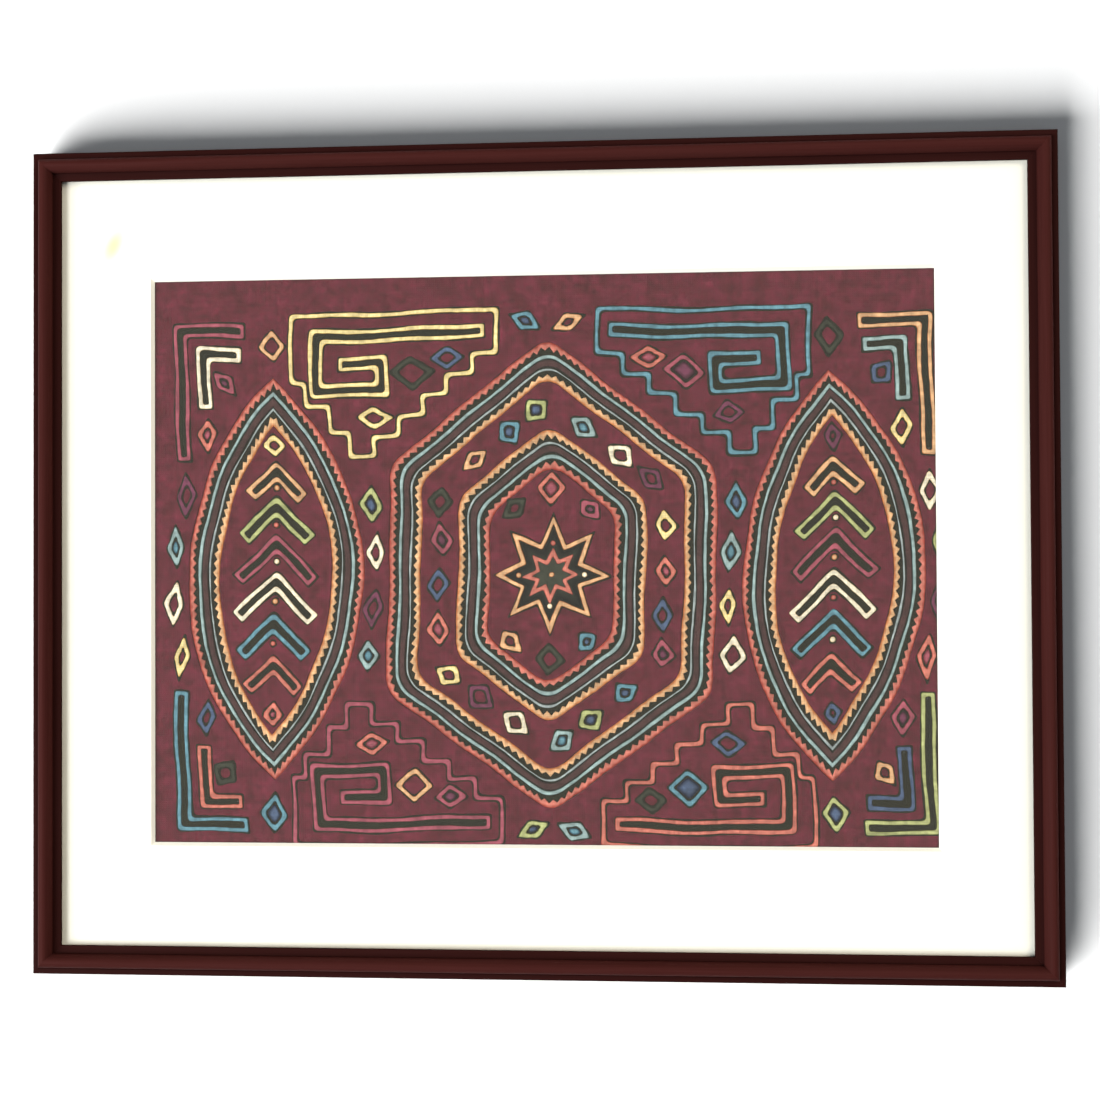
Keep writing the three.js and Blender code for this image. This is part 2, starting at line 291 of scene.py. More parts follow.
# Burgundy top cloth
# The layer that the maker draws on and cuts: burgundy cotton, opened along the outlines below with the
# edges turned under by needle. Islands of it stay inside the medallions. Sewn lines pull it down.
BURGUNDY = "#57121f"
WORN_BURGUNDY = "#5f182b"
TOP_FACE = 7.05
TOP_STEP = 1.15
PUCKER = 0.13
PUCKER_LENGTH = 34
PULL_DEPTH = 0.42
PULL_REACH = 1.0
PULL_CELL = 0.5
PULL_FIRMNESS = 7
SLIT_STITCH = -1.2
HEM_WIDTH = 3.4
HEM_COVER = 0.8
MOLA_X = 7
MOLA_Y = -9
SLOW_HEIGHT = 1.3
SLOW_LENGTH = 190
SLOW_STARTS = (0.6, 2)
QUICK_HEIGHT = 0.4
QUICK_LENGTH = 52
HEXAGON = np.array([(84, -58), (84, 58), (0, 122), (-84, 58), (-84, -58), (0, -122)], float)
HEXAGON_ROUND = 8
LEAF_X = 143
LEAF_HALF_WIDTH = 46
LEAF_HALF_HEIGHT = 104
LEAF_RADIUS = (LEAF_HALF_HEIGHT**2 / LEAF_HALF_WIDTH + LEAF_HALF_WIDTH) / 2
LEAF_OFFSET = LEAF_RADIUS - LEAF_HALF_WIDTH
BORDER_WIDTH = 16.7
RING_WIDTH = 19
RING_INNER = BORDER_WIDTH + RING_WIDTH
HEART_EDGE = RING_INNER + BORDER_WIDTH
QUARTERS = [(1, 1), (-1, 1), (-1, -1), (1, -1)]
SLIP = 0.6
CORNER_SHARE = 0.45
CORNER_POINTS = 7
LOZENGE_ROUND = 2.0
LOZENGE_SEED = 9000

# An outline gives its places from the share of the way round and the distance in from the edge.
Outline = namedtuple("Outline", "place length")


def wander(places):
    """How far each place of the drawing is shifted: to its middle on the cloth, and by hand cutting, in a
    slow wave and a quick one."""
    x, y = places[..., 0], places[..., 1]
    slow, quick = 2 * np.pi / SLOW_LENGTH, 2 * np.pi / QUICK_LENGTH
    sideways = MOLA_X + SLOW_HEIGHT * np.sin(slow * y + SLOW_STARTS[0])
    upward = MOLA_Y + SLOW_HEIGHT * np.sin(slow * x + SLOW_STARTS[1])
    sideways = sideways + QUICK_HEIGHT * np.sin(quick * (x + y))
    return np.stack([sideways, upward + QUICK_HEIGHT * np.sin(quick * (x - y))], -1)


def hand_cut(places):
    """Places of the drawing as they fall on the sewn cloth."""
    return places + wander(places)


def to_drawing(places):
    """Places on the sewn cloth back in the drawing: the wander is taken off, found in three rounds."""
    drawn = places - wander(places)
    for _ in range(2):
        drawn = places - wander(drawn)
    return drawn


def run_along(places):
    """The distance from the first of some places to each of them, from one to the next."""
    return np.concatenate([[0], np.cumsum(np.linalg.norm(np.diff(places, axis=0), axis=1))])


def polygon_outline(corners, rounding):
    """An outline round corners listed anticlockwise, each a small curve that takes up less than half of
    the sides beside it. Drawn in, a side moves straight inward and a corner moves along its mitre."""
    corners = np.asarray(corners, float)
    along = np.roll(corners, -1, 0) - corners
    sides = np.linalg.norm(along, axis=1)
    along /= sides[:, None]
    inward = np.stack([-along[:, 1], along[:, 0]], 1)
    before, before_inward = np.roll(along, 1, 0), np.roll(inward, 1, 0)
    mitre = (before_inward + inward) / (1 + np.sum(before_inward * inward, 1, keepdims=True))
    rounding = np.minimum(rounding, CORNER_SHARE * np.minimum(sides, np.roll(sides, 1)))[:, None]
    bend = np.linspace(0, 1, CORNER_POINTS)[None, :, None]
    start, end = corners - rounding * before, corners + rounding * along
    curves = (1 - bend) ** 2 * start[:, None] + bend**2 * end[:, None]
    curves = curves + 2 * bend * (1 - bend) * corners[:, None]
    knots = curves.reshape(-1, 2)
    drift = np.repeat(mitre, bend.size, axis=0)
    knots, drift = np.vstack([knots, knots[:1]]), np.vstack([drift, drift[:1]])
    run = run_along(knots)

    def place(share, inset):
        at = (share % 1) * run[-1]
        x, y, drift_x, drift_y = [np.interp(at, run, values) for values in (*knots.T, *drift.T)]
        return np.stack([x + inset * drift_x, y + inset * drift_y], -1)

    return Outline(place, run[-1])


def leaf_outline(middle):
    """An upright leaf between two arcs that meet in points; drawn in, both arcs lose radius."""

    def place(share, inset):
        reach = LEAF_RADIUS - inset
        side = np.where(share % 1 < 0.5, 1, -1)
        turn = (4 * (share % 0.5) - 1) * np.arccos(LEAF_OFFSET / reach)
        across = middle + side * (reach * np.cos(turn) - LEAF_OFFSET)
        return np.stack([across, side * reach * np.sin(turn)], -1)

    return Outline(place, 4 * LEAF_RADIUS * np.arccos(LEAF_OFFSET / LEAF_RADIUS))


def slit_outline(middle_line, width):
    """The outline of a bent slit: along one side of its middle line and back along the other."""
    middle_line = np.asarray(middle_line, float)
    runs = np.diff(middle_line, axis=0)
    runs /= np.linalg.norm(runs, axis=1, keepdims=True)
    into, out = np.vstack([runs[:1], runs]), np.vstack([runs, runs[-1:]])
    across = np.stack([-(into + out)[:, 1], (into + out)[:, 0]], 1)
    across *= width / 2 / (1 + np.sum(into * out, 1, keepdims=True))
    corners = np.vstack([middle_line - across, (middle_line + across)[::-1]])
    return polygon_outline(corners, width)


def lozenge_outline(centre, half_length, half_width, turn):
    """A small lozenge, turned about its centre, with its corners a little out of place."""
    draws = np.random.default_rng(int(LOZENGE_SEED + 7 * centre[0] + 31 * centre[1]))
    corners = np.array([(half_length, 0), (0, half_width), (-half_length, 0), (0, -half_width)])
    cos, sin = np.cos(turn), np.sin(turn)
    turned = (corners + draws.normal(0, SLIP, (4, 2))) @ np.array([(cos, sin), (-sin, cos)])
    return polygon_outline(turned + np.asarray(centre), LOZENGE_ROUND)


def outline_shares(outline, inset, count):
    """Shares of the way round at even steps along the outline at a given distance in."""
    shares = np.linspace(0, 1, 2001)
    places = outline.place(shares, np.full(shares.shape, float(inset)))
    run = run_along(places)
    return np.interp(np.arange(count) / count * run[-1], run, shares), run[-1]


hexagon = polygon_outline(HEXAGON, HEXAGON_ROUND)
left_leaf, right_leaf = leaf_outline(-LEAF_X), leaf_outline(LEAF_X)

# Slits cut right through, in the first quarter of the drawing, which is mirrored, and up the leaves.
SLIT_WIDTH = 2.6
KEY_SLIT = [(34, 126), (120, 126), (120, 98), (86, 98), (86, 112), (106, 112)]
KEY_COLOURS = ["sky", "yellow", "rose", "coral"]
CORNER_SLIT = [(191, 62), (191, 128), (160, 128)]
CORNER_COLOURS = ["gold", "rose", "sky", "olive"]
INNER_SLIT = [(179, 90), (179, 116), (162, 116)]
INNER_COLOURS = ["aqua", "cream", "coral", "slate"]
QUARTER_SLITS = [(KEY_SLIT, KEY_COLOURS), (CORNER_SLIT, CORNER_COLOURS), (INNER_SLIT, INNER_COLOURS)]
CHEVRON_PITCH = 20
CHEVRON_REACH = 0.62
CHEVRON_COLOURS = ["coral", "sky", "cream", "rose", "olive", "gold"]

slits = []
for number, quarter in enumerate(QUARTERS):
    for drawing, colours in QUARTER_SLITS:
        slits.append((slit_outline(np.multiply(drawing, quarter), SLIT_WIDTH), colours[number]))
for middle in (-LEAF_X, LEAF_X):
    for row, colour in enumerate(CHEVRON_COLOURS):
        apex = (row - (len(CHEVRON_COLOURS) - 1) / 2) * CHEVRON_PITCH
        reach = CHEVRON_REACH * (np.sqrt((LEAF_RADIUS - BORDER_WIDTH) ** 2 - apex**2) - LEAF_OFFSET)
        low, high = apex - reach / 2, apex + reach / 2
        chevron = [(middle - reach, low), (middle, high), (middle + reach, low)]
        slits.append((slit_outline(chevron, SLIT_WIDTH), colour))

# Small filler shapes, each a line of coloured cloth: place, half sizes and turn in the first quarter.
QUARTER_FILLERS = [
    (70, 106, 9.5, 7.5, 0),
    (51.5, 113, 7, 5, 0),
    (91, 84, 7, 5.5, 0),
    (91, 14, 7.5, 4, np.pi / 2),
    (93.5, 38.5, 7.5, 4.6, np.pi / 2),
    (143, 121, 8, 6, np.pi / 2),
    (168, 101, 6, 4.6, 0.9),
    (178, 73, 7.5, 4.2, np.pi / 2),
    (191, 42, 9, 4.2, np.pi / 2),
    (196, 15, 9, 3.8, np.pi / 2),
    (11.5, 130, 7, 4.4, 0.4),
    (19.5, 34, 6, 4.4, -0.75),
    (0.1, 43.5, 7, 5.2, np.pi / 2),
    (143, 69.5, 5, 3.6, np.pi / 2),
]
STEPPED_LEFT = [(104, 64), (91, 64), (91, 74), (78, 74), (78, 84), (65, 84), (65, 94), (52, 94)]
STEPPED_LEFT += [(52, 104), (39, 104), (39, 114), (26, 114), (26, 137)]
STEPPED_RIGHT = [(133, 137), (133, 102), (126, 102), (126, 90), (114, 90), (114, 76), (104, 76)]
STEPPED_ROUND = 2.6
ON_MIDDLE_LINE = 1
RING_FILLERS = 20
RING_START = 0.02
RING_AHEAD = 0.001
RING_LOZENGE = (6.6, 4.8)
# Colours are dealt out in strides, so that neighbours differ.
LINE_COLOURS = ["rose", "sky", "cream", "coral", "green", "olive", "plum", "slate", "gold", "aqua"]
LINE_COLOURS += ["yellow"]
ROW_STRIDE = 3
QUARTER_STRIDE = 4
RING_STRIDE = 7

lines = []
patches = []
stepped = (STEPPED_LEFT + STEPPED_RIGHT)[::-1]
for number, quarter in enumerate(QUARTERS):
    turned = np.multiply(stepped, quarter)
    if quarter[0] * quarter[1] < 0:
        turned = turned[::-1]
    lines.append((polygon_outline(turned, STEPPED_ROUND), KEY_COLOURS[number]))
    for row, (x, y, half_length, half_width, turn) in enumerate(QUARTER_FILLERS):
        centre = np.multiply((x, y), quarter)
        turn = turn * quarter[0] * quarter[1]
        colour = LINE_COLOURS[(row * ROW_STRIDE + number * QUARTER_STRIDE) % len(LINE_COLOURS)]
        if x > ON_MIDDLE_LINE or quarter[0] > 0:
            outline = lozenge_outline(centre, half_length, half_width, turn)
            lines.append((outline, colour))
            patches.append((outline, centre, colour))
ring_middle = BORDER_WIDTH + RING_WIDTH / 2
ring_shares = outline_shares(hexagon, ring_middle, RING_FILLERS)[0] + RING_START
ring_insets = np.full(RING_FILLERS, ring_middle)
ring_centres = hexagon.place(ring_shares, ring_insets)
ring_ahead = hexagon.place(ring_shares + RING_AHEAD, ring_insets) - ring_centres
for number, (centre, ahead) in enumerate(zip(ring_centres, ring_ahead)):
    outline = lozenge_outline(centre, *RING_LOZENGE, np.arctan2(ahead[1], ahead[0]))
    colour = LINE_COLOURS[number * RING_STRIDE % len(LINE_COLOURS)]
    lines.append((outline, colour))
    patches.append((outline, centre, colour))


def sewn_places(outline, inset):
    """Places about a cell of the pull map apart along a sewn line."""
    count = int(outline.length / PULL_CELL)
    shares = np.arange(count) / count
    return hand_cut(outline.place(shares, np.full(count, float(inset))))


def pull_map():
    """How strongly sewn lines hold the cloth down, on a fine grid: the lines' points are counted in each
    cell, spread out as a bell curve of the pull's reach, and levelled off towards one."""
    sewn = [sewn_places(outline, SLIT_STITCH) for outline, _ in slits]
    places = np.concatenate(sewn + [sewn_places(outline, 0) for outline, _ in lines])
    counts = np.ceil((cloth_high - cloth_low)[:2] / PULL_CELL).astype(int)
    bounds = [(cloth_low[i], cloth_low[i] + counts[i] * PULL_CELL) for i in (0, 1)]
    tally = np.histogram2d(places[:, 0], places[:, 1], bins=counts, range=bounds)[0]
    waves = [2 * np.pi * np.fft.fftfreq(counts[0]), 2 * np.pi * np.fft.rfftfreq(counts[1])]
    spread = np.exp(-0.5 * (PULL_REACH / PULL_CELL) ** 2 * (waves[0][:, None] ** 2 + waves[1] ** 2))
    blurred = np.fft.irfft2(np.fft.rfft2(tally) * spread, s=tally.shape)
    return 1 - np.exp(-PULL_FIRMNESS * np.maximum(blurred, 0))


pull_cells = pull_map()


def pull_at(places):
    """The pull map read between its cells, as a weighted mean of the four nearest."""
    at = (places - cloth_low[:2]) / PULL_CELL - 0.5
    at = np.clip(at, 0, np.array(pull_cells.shape) - 1.001)
    cell = np.floor(at).astype(int)
    part = at - cell
    total = 0
    for corner in ((0, 0), (0, 1), (1, 0), (1, 1)):
        weight = np.prod(np.abs(1 - np.array(corner) - part), axis=-1)
        total = total + weight * pull_cells[cell[..., 0] + corner[0], cell[..., 1] + corner[1]]
    return total


def top_height(places):
    """The face of the top cloth: a level, a slight pucker, and the pull of the sewn lines."""
    pucker = PUCKER * soft_waves(places, seed=5, longest=PUCKER_LENGTH)
    return TOP_FACE + pucker - PULL_DEPTH * pull_at(places)


def row_count(outline, inset, step, fewest=0):
    """An even number of rows, about a step apart along an outline drawn in."""
    return 2 * max(int(outline_shares(outline, inset, 2)[1] / step / 2), fewest)


def strip_surface(outline, outer, inner, section, ground, thick, step=None, closed=True, level=None):
    """A strip between two distances in from an outline, in rows a step apart unless a distance is given
    for each row. The section gives, for each column, its share of the way across and its height, in strip
    thicknesses, over the ground. The share stays with each point as its fourth number."""
    middle = float(np.mean(outer) + np.mean(inner)) / 2 if level is None else level
    count = np.size(outer) if np.size(outer) > 1 else np.size(inner)
    if count == 1:
        count = row_count(outline, middle, step)
    shares, _ = outline_shares(outline, middle, count)
    outer, inner = [np.broadcast_to(edge, count)[:, None] for edge in (outer, inner)]
    across, height = np.asarray(section).T
    inset = outer + across * (inner - outer)
    places = hand_cut(outline.place(shares[:, None] + 0 * inset, inset))
    rise = ground(places) + thick * height
    points = np.dstack([places, rise, np.broadcast_to(across, rise.shape)]).reshape(-1, 4)
    return points, grid_faces(count, len(across), True, closed)


def folded_edges(strip, side=""):
    """A strip with the distance from its fold for the share across: from the outer or the inner edge, or
    else from the nearer of both, where a third of the way across counts as one. The distance places the
    painted shade along the fold."""
    points, faces = strip
    across = points[:, 3]
    points[:, 3] = {"outer": across, "inner": 1 - across}.get(side, 1.5 - 3 * np.abs(across - 0.5))
    return points, faces


def filled(outline, inset, centre, section, thick, step):
    """A shape of cloth from a distance in from an outline as far as its centre: a strip whose distance in
    is the share of the way to the centre."""
    centre = np.asarray(centre, float)

    def place(share, inward):
        edge = outline.place(share, np.full(share.shape, float(inset)))
        return centre + (edge - centre) * (1 - inward)[..., None]

    shape = Outline(place, outline.length)
    return strip_surface(shape, 0, 1, section, top_height, thick, step, closed=False, level=0)


def hexagon_depth(places):
    """How far inside the hexagon's straight sides a place lies, below zero outside."""
    along = np.roll(HEXAGON, -1, 0) - HEXAGON
    offset = places[..., None, :] - HEXAGON
    inward = along[:, 0] * offset[..., 1] - along[:, 1] * offset[..., 0]
    return (inward / np.hypot(*along.T)).min(-1)


def leaf_depth(places, middle):
    """How far inside a leaf's two arcs a place lies, below zero outside."""
    return LEAF_RADIUS - np.hypot(np.abs(places[..., 0] - middle) + LEAF_OFFSET, places[..., 1])


def ground_surface():
    """The sheet outside the medallions: a fine grid without the faces that fall inside their edges."""
    grid = flat_grid(cloth_low[:2], cloth_high[:2], TOP_STEP)
    drawn = to_drawing((grid[:-1, :-1] + grid[1:, 1:]) / 2)
    depth = np.maximum(leaf_depth(drawn, -LEAF_X), leaf_depth(drawn, LEAF_X))
    kept = np.maximum(depth, hexagon_depth(drawn)) < -HEM_COVER
    faces = grid_faces(*grid.shape[:2])[kept.ravel()]
    used, faces = np.unique(faces, return_inverse=True)
    places = grid.reshape(-1, 2)[used]
    return np.column_stack([places, top_height(places)]), faces.reshape(-1, 4)


# A hem rolls over the channel's edge and down to the under cloth; an island has such an edge all round.
ROLL = 0.16
SINK = 0.1
DROP = TOP_FACE - UNDER_FACE + SINK
HEM_STEP = 0.9
HEM_ACROSS = [0, 0.3, 0.6, 0.8, 0.9, 0.96, 0.99, 1, 1]
HEM_HEIGHT = [0, 0.04, 0.1, ROLL, 0.13, 0, -0.2, -0.4, -DROP]
HEM_SECTION = list(zip(HEM_ACROSS, HEM_HEIGHT))
ISLAND_STEP = 1.2
ISLAND_ROLL = 2
ISLAND_EDGE = [(0, -DROP), (0.0, -0.4), (0.03, -0.12), (0.1, 0.06), (0.25, ROLL), (0.5, 0.1)]
RING_COLUMNS = 16
FIELD_COLUMNS = 40
HEART_MEAN_RADIUS = 44
LEAF_MEAN_RADIUS = 50


def island_section(width, columns, both):
    """The section of an island: a rolled edge, then flat columns, then the far edge where it has one."""
    roll = ISLAND_ROLL / width
    edge = [(roll * across, height) for across, height in ISLAND_EDGE]
    flat = [(across, 0.0) for across in np.linspace(roll, 1 - roll if both else 1, columns)]
    far = [(1 - across, height) for across, height in edge[::-1]] if both else []
    return edge + flat + far


burgundy = cotton("burgundy plain-weave cotton", BURGUNDY, WORN_BURGUNDY)
hems = [
    strip_surface(outline, -HEM_WIDTH, 0, HEM_SECTION, top_height, 1, HEM_STEP, closed=False)
    for outline in (hexagon, left_leaf, right_leaf)
]
ground_points, ground_quads = ground_surface()
top_cloth = make_piece(
    "burgundy_top_cloth", (ground_points, ground_quads), burgundy, ["mola_top_cloth"]
)
hem_piece = make_piece("burgundy_turned_hems", join_surfaces(hems), burgundy)
section = island_section(RING_WIDTH, RING_COLUMNS, True)
ring = strip_surface(hexagon, BORDER_WIDTH, RING_INNER, section, top_height, 1, ISLAND_STEP, closed=False)
ring_piece = make_piece("burgundy_ring", ring, burgundy, ["hexagon_ring"])
ISLANDS = [
    ("heart_field", hexagon, HEART_EDGE, 0, HEART_MEAN_RADIUS),
    ("left_leaf_field", left_leaf, BORDER_WIDTH, -LEAF_X, LEAF_MEAN_RADIUS),
    ("right_leaf_field", right_leaf, BORDER_WIDTH, LEAF_X, LEAF_MEAN_RADIUS),
]
for node, outline, inset, middle, mean_radius in ISLANDS:
    section = island_section(mean_radius, FIELD_COLUMNS, False)
    field = filled(outline, inset, (middle, 0), section, 1, ISLAND_STEP)
    piece = make_piece(f"burgundy_{node}", field, burgundy, [node], weld=True)


# Border strips
# Narrow strips of bright cotton laid in the channels round each medallion, with their edges turned under.
# The coral and gold ones are snipped into teeth along the side that faces the black.
STRIP_THICK = 0.62
TOOTH_PITCH = 4.4
TOOTH_HEIGHT = 1.8
TOOTH_STEPS = 8
TOOTH_RANGE = (0.72, 1.12)
TOOTH_WAYS = {"outer": -1, "inner": 1}
STRIP_STEP = 1
EDGE_WOBBLE = 0.19
WOBBLE_TURNS = np.array([9, 23, 47, 101])[:, None]
WOBBLE_FALLS = np.array([1, 1.3, 1.8, 2.6])[:, None]
WOBBLE_ROWS = 900
FEWEST_TURNS = 0.2
COLOURS = {
    "coral": "#c67061",
    "aqua": "#95aaa9",
    "core": "#452a2a",
    "pale": "#9ca5a5",
    "gold": "#dba97c",
    "sky": "#5f8b99",
    "slate": "#4a5a77",
    "rose": "#9e4c5b",
    "plum": "#6a3049",
    "olive": "#aeb076",
    "yellow": "#eed597",
    "cream": "#f2e2c9",
    "green": "#33352a",
}
BORDER = [
    ("coral", 0.1, 1.9, "inner"),
    ("aqua", 5.1, 6.7, ""),
    ("core", 7.1, 10.4, ""),
    ("pale", 10.85, 11.8, ""),
    ("gold", 14.8, 16.6, "outer"),
]
OTHER_SIDE = {"inner": "outer", "outer": "inner", "": ""}
REVERSED_BORDER = [
    (colour, BORDER_WIDTH - inner, BORDER_WIDTH - outer, OTHER_SIDE[teeth])
    for colour, outer, inner, teeth in BORDER
]
BORDERS = [
    ("hexagon", hexagon, 0, BORDER),
    ("heart", hexagon, RING_INNER, REVERSED_BORDER),
    ("left_leaf", left_leaf, 0, BORDER),
    ("right_leaf", right_leaf, 0, BORDER),
]
STRIP_ACROSS = [0, 0, 0.06, 0.22, 0.5, 0.78, 0.94, 1, 1]
STRIP_HEIGHT = [-0.25, 0.4, 0.74, 0.94, 1, 0.94, 0.74, 0.4, -0.25]
STRIP_SECTION = list(zip(STRIP_ACROSS, STRIP_HEIGHT))
SLOT_COLOURS = {"core": "burgundy", "plum": "burgundy", "sky": "aqua", "slate": "aqua", "rose": "coral"}
SLOT_COLOURS |= {"olive": "green", "yellow": "gold", "cream": "pale"}


def wobble(count, seed):
    """The unevenness of a hand-turned edge: four waves of whole numbers of turns round the strip."""
    way = np.arange(count) / count
    turns = np.round(WOBBLE_TURNS * max(count / WOBBLE_ROWS, FEWEST_TURNS))
    starts = np.random.default_rng(seed).uniform(0, 2 * np.pi, 4)[:, None]
    waves = np.sin(2 * np.pi * turns * way + starts) / WOBBLE_FALLS
    return EDGE_WOBBLE * waves.sum(0) / 1.6


def teeth_along(count, seed):
    """Teeth as a triangle wave from nought to a height that differs a little from tooth to tooth."""
    heights = np.random.default_rng(seed).uniform(*TOOTH_RANGE, count // TOOTH_STEPS)
    way = np.arange(count) % TOOTH_STEPS / TOOTH_STEPS
    return (1 - np.abs(2 * way - 1)) * np.repeat(heights, TOOTH_STEPS) * TOOTH_HEIGHT


def border_strip(outline, outer, inner, teeth, seed):
    """One strip of a border, with wavering edges and teeth along one of them if it has any."""
    middle = (outer + inner) / 2
    count = row_count(outline, middle, STRIP_STEP)
    if teeth:
        tooth_count = 2 * round(outline_shares(outline, middle, 2)[1] / TOOTH_PITCH / 2)
        count = tooth_count * TOOTH_STEPS
    edges = {"outer": outer + wobble(count, seed), "inner": inner + wobble(count, seed + 1)}
    if teeth:
        edges[teeth] += TOOTH_WAYS[teeth] * teeth_along(count, seed)
    strip = strip_surface(outline, *edges.values(), STRIP_SECTION, under_height, STRIP_THICK, level=middle)
    # The painted fold shade falls along the side away from the teeth, or along both edges.
    return folded_edges(strip, OTHER_SIDE[teeth])


# Strip and line cottons are painted darker and deeper along their folds, as painted shade.
cottons = {colour: cotton(f"{colour} cotton", value, fold_shaded=True) for colour, value in COLOURS.items()}
cottons["core"].name = "faded burgundy cotton"
for number, (colour, *_) in enumerate(BORDER):
    surfaces = []
    for place_number, (_, outline, start, border) in enumerate(BORDERS):
        _, outer, inner, teeth = border[number]
        seed = 10 * number + 100 * place_number
        surfaces.append(border_strip(outline, start + outer, start + inner, teeth, seed))
    nodes = [f"{name}_{colour}" for name, *_ in BORDERS]
    strips = join_surfaces(surfaces)
    piece = make_piece(f"{colour}_border_strips", strips, cottons[colour], nodes)


# Sewn lines and star
# Slits show the black cloth, and a narrow fold of coloured cotton is sewn round each of them; small filler
# shapes are such folds alone, with a hair of black on both sides. A dark green star fills the heart.
LINE_THICK = 0.5
LINE_WIDTH = 2.0
LINE_STEP = 0.8
LINE_WOBBLE = 1.0
FEWEST_PAIRS = 12
FOLD_GAP = 0.3
HAIR = 0.7
HAIR_WOBBLE = 1.5
BLACK_THICK = 0.12
BLACK_STEP = 0.9
SLIT_MIDDLE = SLIT_WIDTH / 2 - 0.01
STAR_RADIUS = 25
STAR_WAIST = 0.56
STAR_POINTS = 8
STAR_ROUND = 0.8
INNER_STAR_RADIUS = 10
PATCH_COLOURS = {"rose": "plum", "sky": "slate", "coral": "rose", "aqua": "sky", "olive": "slate"}
PATCH_STEP = 0.9
DOT_RADIUS = 1.5
DOT_SIDES = 8
DOT_ROUND = 0.4
DOT_COVER = 0.3
DOT_RING = 16.5
DOT_COLOURS = ["gold", "cream", "coral"]
DOTS = [(0, 0)] + [(DOT_RING * np.cos(turn), DOT_RING * np.sin(turn)) for turn in np.arange(4) * np.pi / 2]
DOTS += [(side * LEAF_X, y) for side in (-1, 1) for y in (-33, -11.5, 9, 28.5, 47)]
PATCH_SECTION = [(0, -1), (0, 0.3), (0.12, 0.8), (0.4, 1), (0.7, 1), (1, 1)]
FLAT_SECTION = [(0, -1), (0, 0.4), (0.1, 1), (0.9, 1), (1, 0.4), (1, -1)]
STAR_EDGE = [(0, -0.6), (0, 0.3), (0.03, 0.7), (0.08, 0.95)]
STAR_SECTION = STAR_EDGE + [(across, 1.0) for across in np.linspace(0.15, 1, 10)]
# The wavering of each kind of line is drawn from seeds of its own, and that of its black from later ones.
SLIT_SEED = 1000
LINE_SEED = 2000
STAR_SEED = 3000
DOT_SEED = 4000
BLACK_SEEDS = 3000


def star_outline(radius):
    """A star with its tips at a radius and its notches further in, all a little out of place."""
    draws = np.random.default_rng(radius)
    number = np.arange(2 * STAR_POINTS)
    turn = number * np.pi / STAR_POINTS
    reach = np.where(number % 2 == 0, radius, STAR_WAIST * radius)
    corners = np.stack([reach * np.cos(turn), reach * np.sin(turn)], 1)
    return polygon_outline(corners + draws.normal(0, SLIP / 2, corners.shape), STAR_ROUND)


def line_strip(outline, outer, inner, seed):
    """A folded line between two distances in, its edges wavering."""
    middle = (outer + inner) / 2
    count = row_count(outline, middle, LINE_STEP, FEWEST_PAIRS)
    edges = [edge + LINE_WOBBLE * wobble(count, seed + i) for i, edge in enumerate((outer, inner))]
    return folded_edges(strip_surface(outline, *edges, STRIP_SECTION, top_height, LINE_THICK, level=middle))


def black_strip(outline, outer, inner, seed):
    """The black that shows beside a line and down a slit, uneven along its outer edge."""
    count = row_count(outline, outer, BLACK_STEP, FEWEST_PAIRS)
    outer_edge = outer + HAIR_WOBBLE * wobble(count, seed)
    return strip_surface(outline, outer_edge, inner, FLAT_SECTION, top_height, BLACK_THICK, level=outer)


coloured = defaultdict(list)
blacks = []


def sew(outline, colour, outer, inner, black_inner, seed, number=0):
    """A coloured line between two distances in, and its black, from a hair outside it to a third one."""
    coloured[colour].append(line_strip(outline, outer, inner, seed + 2 * number))
    blacks.append(black_strip(outline, outer - HAIR, black_inner, seed + BLACK_SEEDS + number))


for number, (outline, colour) in enumerate(slits):
    sew(outline, colour, -FOLD_GAP - LINE_WIDTH, -FOLD_GAP, SLIT_MIDDLE, SLIT_SEED, number)
half_line = LINE_WIDTH / 2
for number, (outline, colour) in enumerate(lines):
    sew(outline, colour, -half_line, half_line, half_line + HAIR, LINE_SEED, number)
star = star_outline(STAR_RADIUS)
for outline, colour in ((star, "gold"), (star_outline(INNER_STAR_RADIUS), "coral")):
    sew(outline, colour, -LINE_WIDTH, 0, HAIR, STAR_SEED)
for number, centre in enumerate(DOTS):
    turn = np.arange(DOT_SIDES) * 2 * np.pi / DOT_SIDES
    rim = np.asarray(centre) + DOT_RADIUS * np.stack([np.cos(turn), np.sin(turn)], 1)
    dot = polygon_outline(rim, DOT_ROUND)
    colour = DOT_COLOURS[number % len(DOT_COLOURS)]
    coloured[colour].append(filled(dot, 0, centre, PATCH_SECTION, LINE_THICK, PATCH_STEP))
    blacks.append(black_strip(dot, -HAIR, DOT_COVER, DOT_SEED + BLACK_SEEDS + number))
for outline, centre, colour in patches:
    if colour in PATCH_COLOURS:
        patch = filled(outline, half_line + HAIR, centre, PATCH_SECTION, LINE_THICK / 2, PATCH_STEP)
        coloured[PATCH_COLOURS[colour]].append(patch)
line_pieces = [
    make_piece(
        f"{colour}_sewn_lines", join_surfaces(parts), cottons[colour], weld=True
    )
    for colour, parts in sorted(coloured.items())
]
black_cotton = under_cloth.data.materials[0]
black_piece = make_piece("black_slits", join_surfaces(blacks), black_cotton)
star_piece = make_piece(
    "green_heart_star",
    filled(star, HAIR, (0, 0), STAR_SECTION, LINE_THICK / 2, PATCH_STEP),
    cottons["green"],
    ["heart_star"],
    weld=True,
)


